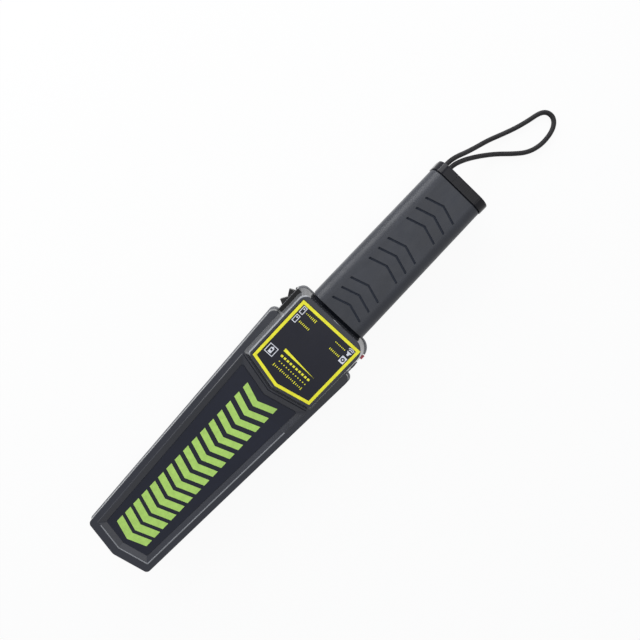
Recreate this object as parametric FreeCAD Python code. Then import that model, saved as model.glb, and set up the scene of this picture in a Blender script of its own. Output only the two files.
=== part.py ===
import FreeCAD, Part
import math
import os

# A hand-held metal detector wand lying on the back of its control block.
# Millimetres. X runs along the wand from the tip to the end cap, Y towards the switches,
# Z out of the front face. The origin is at mid-length, on the surface that it lies on.

os.makedirs("parts", exist_ok=True)
Vector = FreeCAD.Vector
ALONG = Vector(1, 0, 0)
ACROSS = Vector(0, 1, 0)
UP = Vector(0, 0, 1)

# Overall
total_length = 410
shoulder_width = 86
block_thickness = 45
blade_thickness = 18
handle_thickness = 32
wall = 2.2
reveal = 0.8
running_gap = 0.3
seat_gap = 0.1
overrun = 5
match = 0.001

# Search blade
blade_length = 244.3
tip_rise = 6.9
tip_width = 66.8
tip_apex_radius = 8
tip_corner_radius = 4
shoulder_radius = 5
blade_draft = 0.7
blade_edge_radius = 0.8
tray_setback = 9.5
tray_corner_setback = 15
tray_margin = 7.4
tray_notch_gap = 2.3
tray_depth = 1.9
tray_bevel = 4.6
tray_corner_radius = 1.2
bead_width = 1.1
bead_height = 0.5
bead_crest = 0.5
seam_width = 0.5
seam_depth = 0.6

# Control block
shoulder_step = 5.2
block_past_shoulder = 28.2
block_front_length = 83.6
block_side_slope_share = 0.229
block_end_slope_share = 0.102
block_front_slope_share = 0.404
vee_slope_share = 0.238
block_vee_radius = 3
block_corner_radius = 6.5
block_low_corner_radius = 11
block_edge_radius = 1
socket_wall = 4.4
label_margin = 2.3
label_end_margin = 4
label_depth = 0.4
label_thickness = 0.4
label_corner_radius = 0.6
decal_thickness = 0.4

# Handle
handle_gap = 0.5
handle_root_width = 51.2
handle_taper = 3
handle_corner_radius = 10
handle_wall = 2.5
spigot_step = 2
flange_step = 1.9
flange_thickness = 1.6
groove_groups = 3
grooves_in_group = 3
groove_start = 7.1
groove_pitch = 10.1
groove_group_pitch = 40.3
groove_half_span = 14.4
groove_apex = 4.4
groove_width = 1.8
groove_depth = 1.2
groove_radius = 0.4

# End cap
cap_length = 7.7
cap_gap = 0.3
cap_overhang = 0.7
cap_edge_radius = 1
eye_margin = 9.05
rail_neck = 1.9
rail_head = 1.4
rail_half_height = 12.9
rail_undercut = 1.3
cap_end_wall = 1.6
plug_depth = 6.8
plug_wall = 1.4
plug_plate = 1.6

# Battery
battery_length = 45.5
battery_width = 26
battery_height = 17
battery_edge_radius = 1.6
battery_side_gap = 1.1
terminal_height = 2.5
terminal_radii = (2.8, 4)
terminal_pitch = 12.7
bay_clearance = 0.35
bay_wall = 1.2

# Lanyard
lanyard_radius = 1.9
lanyard_inset = 7.15
lanyard_pitch = 3.95
knot_radius = 4.6

# Parting plane, heights and places that follow from the sizes above
parting_z = block_thickness / 2
blade_rise = blade_thickness / 2
block_width = shoulder_width - 2 * shoulder_step
handle_rise = handle_thickness / 2
tip_x = -total_length / 2
tip_half_angle = math.atan2(tip_width / 2, tip_rise)
tip_point_x = tip_x - tip_apex_radius / math.sin(tip_half_angle) + tip_apex_radius
cap_end_x = total_length / 2
tip_corner_x = tip_x + tip_rise
shoulder_x = tip_x + blade_length
block_end_x = shoulder_x + block_past_shoulder
block_apex_x = block_end_x - block_front_length
socket_face_x = block_end_x - parting_z * block_end_slope_share - socket_wall + wall / 2
handle_root_x = block_end_x + handle_gap
handle_end_x = cap_end_x - cap_length - cap_gap
handle_end_width = handle_root_width - handle_taper
lanyard_y = handle_end_width / 2 - lanyard_inset
door_seam_y = lanyard_y - eye_margin
battery_y = handle_wall + battery_side_gap + battery_width / 2 - handle_end_width / 2
side_slope_share = (shoulder_width - tip_width) / 2 / (shoulder_x - tip_corner_x)
tray_notch_x = block_apex_x + blade_rise * block_front_slope_share + reveal - tray_notch_gap


def box_between(low, high):
    """A box from its lowest corner to its highest."""
    size = [top - bottom for bottom, top in zip(low, high)]
    return Part.makeBox(*size, Vector(*low))


def rod_between(start, end, radius):
    """A round bar from one point to another."""
    line = Vector(*end) - Vector(*start)
    return Part.makeCylinder(radius, line.Length, Vector(*start), line)


def joined(shapes):
    """All the shapes as one solid."""
    first, *others = shapes
    return first.fuse(others).removeSplitter() if others else first


def group(solids):
    """Separate solids that share a node."""
    return Part.makeCompound(solids)


def mirrored(shape):
    """The same shape on the other side of the parting plane."""
    return shape.mirror(Vector(0, 0, parting_z), UP)


def inset_corners(corners, inset):
    """The corners of a counter-clockwise outline, each side moved in by one distance."""
    moved = []
    for index, here in enumerate(corners):
        before = corners[index - 1]
        after = corners[(index + 1) % len(corners)]
        normals = []
        for start, end in ((before, here), (here, after)):
            run = math.dist(start, end)
            normals.append(((start[1] - end[1]) / run, (end[0] - start[0]) / run))
        (ax, ay), (bx, by) = normals
        reach = inset / (1 + ax * bx + ay * by)
        moved.append((here[0] + reach * (ax + bx), here[1] + reach * (ay + by)))
    return moved


def rounded_wire(corners, radii, place):
    """A closed outline with an arc at each corner; place turns its two coordinates into a point."""
    starts, middles, ends = [], [], []
    for index, here in enumerate(corners):
        flat = Vector(here[0], here[1], 0)
        back = (Vector(*corners[index - 1], 0) - flat).normalize()
        on = (Vector(*corners[(index + 1) % len(corners)], 0) - flat).normalize()
        half_angle = back.getAngle(on) / 2
        setback = radii[index] / math.tan(half_angle)
        to_centre = (back + on).normalize()
        arc_depth = radii[index] / math.sin(half_angle) - radii[index]
        starts.append(flat + back * setback)
        middles.append(flat + to_centre * arc_depth)
        ends.append(flat + on * setback)
    edges = []
    for index in range(len(corners)):
        first, middle, last = (place(p.x, p.y) for p in (starts[index], middles[index], ends[index]))
        edges.append(Part.Arc(first, middle, last).toShape())
        following = starts[(index + 1) % len(corners)]
        edges.append(Part.LineSegment(last, place(following.x, following.y)).toShape())
    return Part.Wire(edges)


def level(z):
    """Places an outline at one height."""
    return lambda u, v: Vector(u, v, z)


def station(x):
    """Places an outline across the wand at one distance along it."""
    return lambda u, v: Vector(x, u, v)


def tapered(low_wire, high_wire):
    """A solid between two outlines of the same kind."""
    return Part.makeLoft([low_wire, high_wire], True, True)


def prism(corners, radii, low_z, high_z):
    """An upright solid with the same outline all the way."""
    return Part.Face(rounded_wire(corners, radii, level(low_z))).extrude(UP * (high_z - low_z))


def edges_at(shape, value, axis="Z"):
    """Edges of which both ends lie on one plane."""
    return [e for e in shape.Edges if all(abs(getattr(v, axis) - value) < match for v in e.Vertexes)]


def tube(points, radius):
    """A round cord along straight runs joined by tangent arcs; also gives the arcs' radii."""
    corner_share = 0.45
    path, bends = [], []
    here = Vector(*points[0])
    for before, corner, after in zip(points, points[1:], points[2:]):
        corner = Vector(*corner)
        back, on = Vector(*before) - corner, Vector(*after) - corner
        setback = corner_share * min(back.Length, on.Length)
        half_turn = (math.pi - back.getAngle(on)) / 2
        bend = setback / math.tan(half_turn)
        back.normalize()
        on.normalize()
        start, end = corner + back * setback, corner + on * setback
        middle = corner + (back + on).normalize() * (bend / math.cos(half_turn) - bend)
        path.append(Part.LineSegment(here, start).toShape())
        path.append(Part.Arc(start, middle, end).toShape())
        bends.append(bend)
        here = end
    path.append(Part.LineSegment(here, Vector(*points[-1])).toShape())
    route = Part.Wire(path)
    way = Vector(*points[1]) - Vector(*points[0])
    ring = Part.Wire(Part.makeCircle(radius, Vector(*points[0]), way))
    solid = route.makePipeShell([ring], True, False)
    return solid, route.Length, bends


def export(node, shape):
    """Writes one sub-part."""
    shape.exportStep(f"parts/{node}.step")


# Outlines of the housing
def blade_half_width(x):
    """Half the blade's width at one place along it, at the parting plane."""
    return tip_width / 2 + (x - tip_corner_x) * side_slope_share


def blade_corners(inset):
    corners = [
        (tip_point_x, 0),
        (tip_corner_x, -tip_width / 2),
        (shoulder_x, -shoulder_width / 2),
        (shoulder_x, shoulder_width / 2),
        (tip_corner_x, tip_width / 2),
    ]
    return inset_corners(corners, inset)


def block_corners(rise, inset):
    """The control block's outline at one distance from the parting plane."""
    half = block_width / 2 - rise * block_side_slope_share
    apex = block_apex_x + rise * block_front_slope_share
    corner = apex + half * vee_slope_share
    end = block_end_x - rise * block_end_slope_share
    return inset_corners([(apex, 0), (corner, -half), (end, -half), (end, half), (corner, half)], inset)


def tray_corners(inset):
    """The shallow tray in the blade's face; its inner end follows the block's vee."""
    left = tip_x + tray_corner_setback
    left_half = blade_half_width(left) - tray_margin
    notch_half = blade_half_width(tray_notch_x) - tray_margin
    right_half = notch_half / (1 - vee_slope_share * side_slope_share)
    right = tray_notch_x + right_half * vee_slope_share
    corners = [
        (tip_x + tray_setback, 0),
        (left, -left_half),
        (right, -right_half),
        (tray_notch_x, 0),
        (right, right_half),
        (left, left_half),
    ]
    return inset_corners(corners, inset)


def parting_corners(inset):
    """The whole housing's outline at the parting plane."""
    half = block_width / 2
    side = [
        (tip_corner_x, -tip_width / 2),
        (shoulder_x, -shoulder_width / 2),
        (shoulder_x, -half),
        (block_end_x, -half),
    ]
    other_side = [(x, -y) for x, y in reversed(side)]
    return inset_corners([(tip_point_x, 0)] + side + other_side, inset)


blade_radii = (tip_apex_radius, tip_corner_radius, shoulder_radius, shoulder_radius, tip_corner_radius)
block_radii = (
    block_vee_radius, block_vee_radius, block_low_corner_radius, block_corner_radius, block_vee_radius
)
tray_radii = (tray_corner_radius,) * len(tray_corners(0))
shoulder_notch_radius = 1
parting_radii = (
    tip_apex_radius,
    tip_corner_radius,
    shoulder_radius,
    shoulder_notch_radius,
    block_low_corner_radius,
    block_corner_radius,
    shoulder_notch_radius,
    shoulder_radius,
    tip_corner_radius,
)


def block_between(low_rise, high_rise, inset, radii):
    """The block's tapering body between two distances from the parting plane."""
    low = rounded_wire(block_corners(low_rise, inset), radii, level(parting_z + low_rise))
    high = rounded_wire(block_corners(high_rise, inset), radii, level(parting_z + high_rise))
    return tapered(low, high)


def outer_half(inset):
    """The outside of one half of the housing, from the parting plane outwards."""
    low = rounded_wire(blade_corners(inset), blade_radii, level(parting_z))
    top_z = parting_z + blade_rise
    high = rounded_wire(blade_corners(inset + blade_draft), blade_radii, level(top_z))
    blade = tapered(low, high)
    blade = blade.makeFillet(blade_edge_radius, edges_at(blade, top_z))
    foot = rounded_wire(tray_corners(-bead_width), tray_radii, level(top_z))
    crest = rounded_wire(tray_corners(-bead_crest), tray_radii, level(top_z + bead_height))
    blade = blade.fuse(tapered(foot, crest))
    floor = rounded_wire(tray_corners(tray_bevel), tray_radii, level(top_z - tray_depth))
    brim = rounded_wire(tray_corners(0), tray_radii, level(top_z + bead_height))
    blade = blade.cut(tapered(floor, brim))
    block = block_between(0, parting_z, inset, block_radii)
    block = block.makeFillet(block_edge_radius, edges_at(block, block_thickness))
    return blade.fuse(block).removeSplitter()


def cavity_half(inset):
    """The hollow of one half of the housing."""
    thick = inset + wall
    inner_radii = tuple(max(radius - wall, wall / 2) for radius in blade_radii)
    roof_z = parting_z + blade_rise - wall
    blade = prism(blade_corners(thick), inner_radii, parting_z, roof_z)
    under_tray = prism(tray_corners(-wall), tray_radii, roof_z - tray_depth, parting_z + blade_rise)
    block_inner_radii = tuple(max(radius - wall, wall / 2) for radius in block_radii)
    block = block_between(0, parting_z - wall, thick, block_inner_radii)
    beyond = box_between((socket_face_x, -shoulder_width, 0), (cap_end_x, shoulder_width, block_thickness))
    return blade.cut(under_tray).fuse(block.cut(beyond)).removeSplitter()


# Handle sections
def handle_corners(x, inset):
    """The handle's rounded section at one place along it."""
    way = (x - handle_root_x) / (handle_end_x - handle_root_x)
    half = (handle_root_width + (handle_end_width - handle_root_width) * way) / 2
    low, high = parting_z - handle_rise, parting_z + handle_rise
    return inset_corners([(-half, low), (half, low), (half, high), (-half, high)], inset)


def handle_wire(x, inset, section_x=None):
    """The handle's section as an outline; section_x takes the section of another place."""
    radius = handle_corner_radius - inset
    corners = handle_corners(x if section_x is None else section_x, inset)
    return rounded_wire(corners, (radius,) * len(corners), station(x))


def handle_bar(start_x, end_x, inset):
    """A solid that follows the handle's taper."""
    return tapered(handle_wire(start_x, inset), handle_wire(end_x, inset))


def straight_bar(start_x, end_x, section_x, inset):
    """A solid with the handle's section of one place."""
    return tapered(handle_wire(start_x, inset, section_x), handle_wire(end_x, inset, section_x))


spigot_start_x = socket_face_x
flange_x = spigot_start_x + (block_end_x - spigot_start_x - flange_thickness) / 2
flange_inset = spigot_step - flange_step


def make_handle_socket():
    """What the handle's spigot and flange need in the end of the block."""
    hole = straight_bar(
        spigot_start_x - overrun, handle_root_x + overrun, handle_root_x, spigot_step - seat_gap
    )
    start = flange_x - seat_gap
    end = flange_x + flange_thickness + seat_gap
    groove = straight_bar(start, end, handle_root_x, flange_inset - seat_gap)
    return hole.fuse(groove)


def make_groove(x, top):
    """One chevron groove across the handle's face."""
    apex_x = x + groove_apex
    outline = [
        (x, -groove_half_span),
        (x + groove_width, -groove_half_span),
        (apex_x + groove_width, 0),
        (x + groove_width, groove_half_span),
        (x, groove_half_span),
        (apex_x, 0),
    ]
    floor_z = parting_z + handle_rise - groove_depth
    radii = (groove_radius,) * len(outline)
    groove = prism(outline, radii, floor_z, floor_z + overrun)
    return groove if top else mirrored(groove)


def make_handle_grip():
    inner_length = handle_root_x - spigot_start_x
    body = handle_bar(handle_root_x, handle_end_x, 0)
    spigot = straight_bar(spigot_start_x, handle_root_x + handle_wall, handle_root_x, spigot_step)
    flange = straight_bar(flange_x, flange_x + flange_thickness, handle_root_x, flange_inset)
    outside = joined([body, spigot, flange])
    bore = handle_bar(handle_root_x, handle_end_x + overrun, handle_wall)
    root_bore = straight_bar(
        handle_root_x - inner_length - overrun, handle_root_x, handle_root_x, handle_wall + spigot_step
    )
    grip = outside.cut([bore, root_bore])
    grooves = []
    for cluster in range(groove_groups):
        for index in range(grooves_in_group):
            x = handle_root_x + groove_start + cluster * groove_group_pitch + index * groove_pitch
            grooves += [make_groove(x, True), make_groove(x, False)]
    return grip.cut(grooves)


# Screws of the housing, in pairs either side of the middle
screw_radius = 1.2
screw_head_radius = 2
screw_head_height = 1.6
screw_pocket_gap = 0.15
post_wall = 1.05
ledge_thickness = 1.2
cross_reach_share = 0.66
cross_arm_share = 0.17
cross_depth_share = 0.4
block_pocket_depth = 10
block_screw_length = 20.5
blade_pocket_depth = 2.4
blade_screw_length = 11.5
block_post_setback = 21.6
block_post_inset = 11.4
socket_post_setback = 5.1
socket_post_gap = 1.35
blade_post_margin = 4
tip_post_setback = 33
middle_post_setback = 133
shoulder_post_setback = 9
post_radius = screw_radius + post_wall
pocket_radius = screw_head_radius + screw_pocket_gap
block_posts = (
    (block_apex_x + block_post_setback, block_width / 2 - block_post_inset),
    (block_end_x - socket_post_setback, handle_root_width / 2 + socket_post_gap + post_radius),
)
blade_post_xs = (
    tip_x + tip_post_setback,
    tip_x + middle_post_setback,
    shoulder_x - shoulder_post_setback,
)
blade_posts = tuple((x, blade_half_width(x) - blade_post_margin) for x in blade_post_xs)
back_z = parting_z - blade_rise


def upright(x, y, low_z, high_z, radius):
    """An upright round bar."""
    return rod_between((x, y, low_z), (x, y, high_z), radius)


def on_both_sides(places):
    """Every place and its mirror image across the middle."""
    return [(x, side * y) for x, y in places for side in (1, -1)]


def make_screw(x, y, seat_z, length, radius, head_radius, head_height):
    """A screw driven from the back, with a cross in its head; seat_z is the underside of the head."""
    face_z = seat_z - head_height
    head = upright(x, y, face_z, seat_z, head_radius)
    reach, arm = head_radius * cross_reach_share, head_radius * cross_arm_share
    top_z = face_z + head_radius * cross_depth_share
    cross = [
        box_between((x - long, y - wide, face_z), (x + long, y + wide, top_z))
        for long, wide in ((reach, arm), (arm, reach))
    ]
    shank = upright(x, y, seat_z, seat_z + length, radius)
    return head.fuse(shank).removeSplitter().cut(cross)


def shell_screw(x, y, seat_z, length):
    return make_screw(x, y, seat_z, length, screw_radius, screw_head_radius, screw_head_height)


def make_block_screws():
    seat_z = block_pocket_depth
    return [shell_screw(x, y, seat_z, block_screw_length) for x, y in on_both_sides(block_posts)]


def make_blade_screws():
    seat_z = back_z + blade_pocket_depth
    return [shell_screw(x, y, seat_z, blade_screw_length) for x, y in on_both_sides(blade_posts)]


# Circuit board, hung from the front shell
board_end_gap = 6.3
board_side_gap = 9.8
board_thickness = 1.6
board_setback = 27.7
board_drop = 6.7
board_corner_radius = 2
board_post_inset = 3.6
board_screw_radius = 1
board_screw_head_radius = 1.9
board_screw_head_height = 1.3
board_screw_bite = 4
board_top_z = block_thickness - wall - board_drop
board_low_z = board_top_z - board_thickness
board_x = block_apex_x + board_setback
board_length = socket_face_x - board_end_gap - board_x
board_width = block_width - 2 * board_side_gap
board_posts = (
    (board_x + board_post_inset, board_width / 2 - board_post_inset),
    (board_x + board_length - board_post_inset, board_width / 2 - board_post_inset),
)

# Side controls
switch_setback = 11.9
switch_pitch = 10.4
bezel_length = 22
bezel_height = 24
bezel_plate = 1.4
bezel_edge_radius = 0.9
lug_length = 1.2
lug_height = 6
lug_proud = 0.8
lug_setback = 0.9
sleeve_depth = 2.8
sleeve_wall = 0.65
body_length = 17.4
body_height = 10
body_depth = 16.3
body_end_wall = 0.8
body_cheek = 0.9
rocker_pocket_depth = 5.9
rocker_crown_half = 6.4
rocker_crown_rise = 5.9
rocker_face_share = 0.3
rocker_skirt_half = 7.3
rocker_skirt_rise = 1.9
rocker_waist = 5.6
rocker_stem = 2
rocker_stem_depth = 2.6
rocker_tilt = 14
pivot_depth = 3.2
pivot_radius = 1.2
pivot_clearance = 0.05
terminal_length = 5
terminal_width = 2.8
terminal_thickness = 0.6
terminal_spacing = 5.2
bezel_face_y = block_width / 2
switch_x = shoulder_x + switch_setback
body_top_y = bezel_face_y - bezel_plate - seat_gap
pivot_y = bezel_face_y - pivot_depth
power_z = parting_z + switch_pitch / 2
sensitivity_z = parting_z - switch_pitch / 2

selector_setback = 14.8
selector_travel = 3.4
selector_length = 8.6
selector_height = 6
selector_depth = 4.8
selector_recess_margin = 0.8
selector_recess_depth = 0.4
selector_stem = 1.6
selector_stem_depth = 2
knob_width = 3.6
knob_height = 2.4
knob_proud = 0.4
knob_edge_radius = 0.4
selector_x = shoulder_x + selector_setback
knob_x = selector_x + selector_travel / 2
side_face_y = -(block_width / 2 - reveal)
inner_face_y = side_face_y + wall
selector_face_y = inner_face_y + 2 * seat_gap

jack_offset = 8.2
jack_bore_radius = 1.8
jack_bore_depth = 14
jack_nose_radius = 2.9
jack_nose_length = 2.8
jack_width = 7
jack_height = 6
jack_depth = 12
jack_x = selector_x - jack_offset

# Sounder and vibration motor on the back shell's floor
speaker_radius = 14
speaker_thickness = 4
magnet_radius = 8
magnet_thickness = 3.5
speaker_ring_height = 3
speaker_ring_wall = 1.4
speaker_setback = 47
speaker_y = 2
grille_slots = 7
grille_slot_width = 1.6
grille_slot_pitch = 3.2
grille_radius = 11.5
motor_radius = 5
motor_length = 16
motor_setback = 28.2
motor_y = -22.5
motor_lift = 2.2
saddle_thickness = 1.6
saddle_inset = 2.2
saddle_margin = 2
shaft_radius = 0.75
shaft_length = 7.5
shaft_socket = 3
weight_radius = 4.6
weight_length = 5
weight_gap = 1.2
speaker_x = block_apex_x + speaker_setback
motor_x = block_apex_x + motor_setback
motor_z = wall + motor_lift + motor_radius
motor_end_x = motor_x + motor_length

# Search coil on its former, in the blade
former_tip_setback = 20
former_end_gap = 4
former_margin = 9.6
former_corner_radius = 9
flange_depth = 3.6
flange_sheet = 1.2
web_sheet = 1.5
winding_depth = 3
rib_count = 4
rib_thickness = 1.6
rib_height = 2
former_x = tip_x + former_tip_setback
former_end_x = tray_notch_x - former_end_gap
former_half_height = blade_rise - wall - tray_depth - seat_gap


def former_corners(inset):
    """The flat coil's tapering outline."""
    near = blade_half_width(former_x) - former_margin
    far = blade_half_width(former_end_x) - former_margin
    corners = [(former_x, -near), (former_end_x, -far), (former_end_x, far), (former_x, near)]
    return inset_corners(corners, inset)


def former_ring(outer_inset, inner_inset, low_z, high_z):
    """A flat ring that follows the coil's outline."""
    rings = []
    for inset in (outer_inset, inner_inset):
        radius = former_corner_radius - inset
        rings.append(prism(former_corners(inset), (radius,) * len(former_corners(0)), low_z, high_z))
    return rings[0].cut(rings[1])


def make_coil_former():
    low_z, high_z = parting_z - former_half_height, parting_z + former_half_height
    web = former_ring(flange_depth, flange_depth + web_sheet, low_z, high_z)
    lower = former_ring(0, flange_depth + web_sheet, low_z, low_z + flange_sheet)
    upper = former_ring(0, flange_depth + web_sheet, high_z - flange_sheet, high_z)
    return joined([web, lower, upper])


def make_search_coil():
    half = former_half_height - flange_sheet - seat_gap
    inner = flange_depth - seat_gap
    return former_ring(inner - winding_depth, inner, parting_z - half, parting_z + half)


def make_blade_ribs(top):
    """Stiffening ribs across the blade's face, inside the coil."""
    ribs = []
    roof_rise = blade_rise - wall - tray_depth
    clear_length = former_end_x - former_x
    for index in range(rib_count):
        x = former_x + clear_length * (index + 1) / (rib_count + 1)
        half = blade_half_width(x) - former_margin - flange_depth - web_sheet - running_gap
        low = (x, -half, parting_z + roof_rise - rib_height)
        rib = box_between(low, (x + rib_thickness, half, parting_z + roof_rise + wall / 2))
        ribs.append(rib if top else mirrored(rib))
    return ribs


def side_block(x, half_length, y, far_y, z, half_height):
    """A box given by its middle along the wand and its middle height."""
    low_y, high_y = min(y, far_y), max(y, far_y)
    return box_between(
        (x - half_length, low_y, z - half_height), (x + half_length, high_y, z + half_height)
    )


def make_side_cuts():
    """What the side controls take out of both shells."""
    outside_y = bezel_face_y + overrun
    seat_y = bezel_face_y - bezel_plate
    seat = side_block(
        switch_x, bezel_length / 2 + seat_gap, seat_y, outside_y, parting_z, bezel_height / 2 + seat_gap
    )
    half_length = body_length / 2 + sleeve_wall + 2 * seat_gap
    half_height = (switch_pitch + body_height) / 2 + sleeve_wall + 2 * seat_gap
    window = side_block(
        switch_x, half_length, seat_y - bezel_plate - wall * 2, outside_y, parting_z, half_height
    )
    recess_half = (selector_travel + knob_width) / 2 + selector_recess_margin
    recess_y = side_face_y + selector_recess_depth
    recess = side_block(selector_x, recess_half, recess_y, -outside_y, parting_z, selector_height / 2)
    slot_half = (selector_travel + knob_width) / 2 + running_gap
    slot_height = knob_height / 2 + running_gap
    slot = side_block(selector_x, slot_half, inner_face_y + wall, -outside_y, parting_z, slot_height)
    jack = rod_between(
        (jack_x, inner_face_y + wall, parting_z),
        (jack_x, -outside_y, parting_z),
        jack_nose_radius + seat_gap,
    )
    cuts = [seat, window, recess, slot, jack]
    bodies = (
        (selector_x, selector_length, selector_depth, selector_height),
        (jack_x, jack_width, jack_depth, jack_height),
    )
    for x, length, depth, height in bodies:
        far_y = selector_face_y + depth
        face_y = selector_face_y - seat_gap
        cuts.append(side_block(x, length / 2 + seat_gap, face_y, far_y, parting_z, height / 2 + seat_gap))
    return cuts


def make_front_shell():
    outside = outer_half(reveal)
    hollow = cavity_half(reveal)
    top_z = block_thickness
    posts = [
        upright(x, y, parting_z, top_z, post_radius)
        for x, y in on_both_sides(block_posts + blade_posts)
    ]
    hangers = [
        upright(x, y, board_top_z, top_z, board_screw_radius + post_wall)
        for x, y in on_both_sides(board_posts)
    ]
    inner = [post.common(hollow) for post in posts + hangers]
    shell = joined([outside.cut(hollow)] + inner + make_blade_ribs(True))
    cuts = make_side_cuts() + [make_handle_socket()]
    pilot = screw_radius + pivot_clearance
    pilot_end_z = block_pocket_depth + block_screw_length + running_gap
    cuts += [upright(x, y, 0, pilot_end_z, pilot) for x, y in on_both_sides(block_posts)]
    reach_z = back_z + blade_pocket_depth + blade_screw_length + seat_gap
    cuts += [upright(x, y, 0, reach_z, pilot) for x, y in on_both_sides(blade_posts)]
    bite_z = board_top_z + board_screw_bite + seat_gap
    cuts += [
        upright(x, y, 0, bite_z, board_screw_radius + pivot_clearance)
        for x, y in on_both_sides(board_posts)
    ]
    seam_z = parting_z + seam_width
    band = box_between((tip_x - overrun, -shoulder_width, parting_z), (cap_end_x, shoulder_width, seam_z))
    kept = prism(parting_corners(reveal + seam_depth), parting_radii, parting_z, seam_z)
    cuts.append(band.cut(kept))
    cuts.append(
        prism(
            label_corners(-seat_gap), label_radii, block_thickness - label_depth, block_thickness + overrun
        )
    )
    return shell.cut(cuts)


def label_corners(inset):
    """The label on the block's face."""
    (apex, _), (corner, low), (end, _), (_, high), _ = block_corners(parting_z, reveal + label_margin)
    end -= label_end_margin - label_margin
    return inset_corners([(apex, 0), (corner, low), (end, low), (end, high), (corner, high)], inset)


label_radii = (label_corner_radius,) * len(label_corners(0))


def make_back_shell():
    outside = mirrored(outer_half(0))
    hollow = mirrored(cavity_half(0))
    wide = pocket_radius + post_wall
    wide_top_z = block_pocket_depth + ledge_thickness
    posts = [upright(x, y, 0, parting_z, post_radius) for x, y in on_both_sides(block_posts + blade_posts)]
    posts += [upright(x, y, 0, wide_top_z, wide) for x, y in on_both_sides(block_posts)]
    inner = [post.common(hollow) for post in posts]
    floor_z = wall / 2
    ring = upright(
        speaker_x,
        speaker_y,
        floor_z,
        wall + speaker_ring_height,
        speaker_radius + seat_gap + speaker_ring_wall,
    )
    ring = ring.cut(upright(speaker_x, speaker_y, floor_z, block_thickness, speaker_radius + seat_gap))
    saddles = []
    for x in (motor_x + saddle_inset, motor_end_x - saddle_inset - saddle_thickness):
        half = motor_radius + saddle_margin
        saddles.append(
            box_between((x, motor_y - half, floor_z), (x + saddle_thickness, motor_y + half, motor_z))
        )
    nest = rod_between(
        (motor_x - overrun, motor_y, motor_z), (motor_end_x, motor_y, motor_z), motor_radius + seat_gap
    )
    saddles = [saddle.cut(nest) for saddle in saddles]
    shell = joined([outside.cut(hollow)] + inner + [ring] + saddles + make_blade_ribs(False))
    cuts = make_side_cuts() + [make_handle_socket()]
    through = screw_radius + screw_pocket_gap
    cuts += [
        upright(x, y, -overrun, parting_z + overrun, through)
        for x, y in on_both_sides(block_posts + blade_posts)
    ]
    cuts += [
        upright(x, y, -overrun, block_pocket_depth, pocket_radius)
        for x, y in on_both_sides(block_posts)
    ]
    blade_seat_z = back_z + blade_pocket_depth
    cuts += [upright(x, y, 0, blade_seat_z, pocket_radius) for x, y in on_both_sides(blade_posts)]
    for index in range(grille_slots):
        offset = (index - (grille_slots - 1) / 2) * grille_slot_pitch
        half = math.sqrt(grille_radius ** 2 - offset ** 2)
        low = (speaker_x + offset - grille_slot_width / 2, speaker_y - half, -overrun)
        high = (speaker_x + offset + grille_slot_width / 2, speaker_y + half, wall + seat_gap)
        cuts.append(box_between(low, high))
    return shell.cut(cuts)


def make_labels():
    """The printed sheet in the blade's tray and the label on the block."""
    tray_floor_z = parting_z + blade_rise - tray_depth
    decal = prism(
        tray_corners(tray_bevel + seat_gap), tray_radii, tray_floor_z, tray_floor_z + decal_thickness
    )
    low_z = block_thickness - label_depth
    label = prism(label_corners(0), label_radii, low_z, low_z + label_thickness)
    return decal, label


# Circuit board and what it carries
chip_size = (10, 6.4, 3.3)
chip_leg = (0.5, 1.2, 2.4)
chip_legs = 4
chip_leg_pitch = 2.54
chip_place_shares = ((0.38, -0.32), (0.5, 0.3))
capacitor_sizes = ((4, 11), (4, 11), (3, 8))
can_edge_radius = 0.4
capacitor_place_shares = ((0.42, 0), (0.42, 0.15), (0.66, -0.16))
trimmer_size = 6.6
trimmer_height = 4.4
trimmer_dial_radius = 2.3
trimmer_slot = 0.6
trimmer_place_shares = ((0.22, 0.12), (0.22, -0.12))
header_size = (5, 6, 6)
header_wall = 0.8
header_floor = 2
coil_header_shares = (0.1, -0.18)
motor_header_shares = (0.1, -0.32)
power_header_shares = (0.88, -0.08)
speaker_header_shares = (0.88, 0.14)
wire_radius = 0.6
wire_half_pitch = 1
wire_leave = 8
wire_rise = 5
motor_wire_leave = 2.2
motor_wire_rise = 2.5


def on_board(shares):
    """A place on the board from shares of its length and width."""
    return board_x + shares[0] * board_length, shares[1] * board_width


def make_circuit_board():
    half = board_width / 2
    corners = [
        (board_x, -half), (board_x + board_length, -half), (board_x + board_length, half), (board_x, half)
    ]
    radii = (board_corner_radius,) * len(corners)
    board = prism(corners, radii, board_low_z, board_top_z)
    hole = board_screw_radius + screw_pocket_gap
    return board.cut([upright(x, y, 0, block_thickness, hole) for x, y in on_both_sides(board_posts)])


def make_chips():
    chips = []
    length, width, height = chip_size
    leg_thick, leg_wide, leg_high = chip_leg
    for x, y in map(on_board, chip_place_shares):
        low = (x - length / 2, y - width / 2, board_low_z - height)
        parts = [box_between(low, (x + length / 2, y + width / 2, board_low_z))]
        for index in range(chip_legs):
            leg_x = x + (index - (chip_legs - 1) / 2) * chip_leg_pitch
            far = width / 2 + leg_thick
            low = (leg_x - leg_wide / 2, y - far, board_low_z - leg_high)
            parts.append(box_between(low, (leg_x + leg_wide / 2, y + far, board_low_z)))
        chips.append(joined(parts))
    return chips


def make_capacitors():
    cans = []
    for (radius, height), shares in zip(capacitor_sizes, capacitor_place_shares):
        x, y = on_board(shares)
        can = upright(x, y, board_low_z - height, board_low_z, radius)
        cans.append(can.makeFillet(can_edge_radius, edges_at(can, board_low_z - height)))
    return cans


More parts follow.
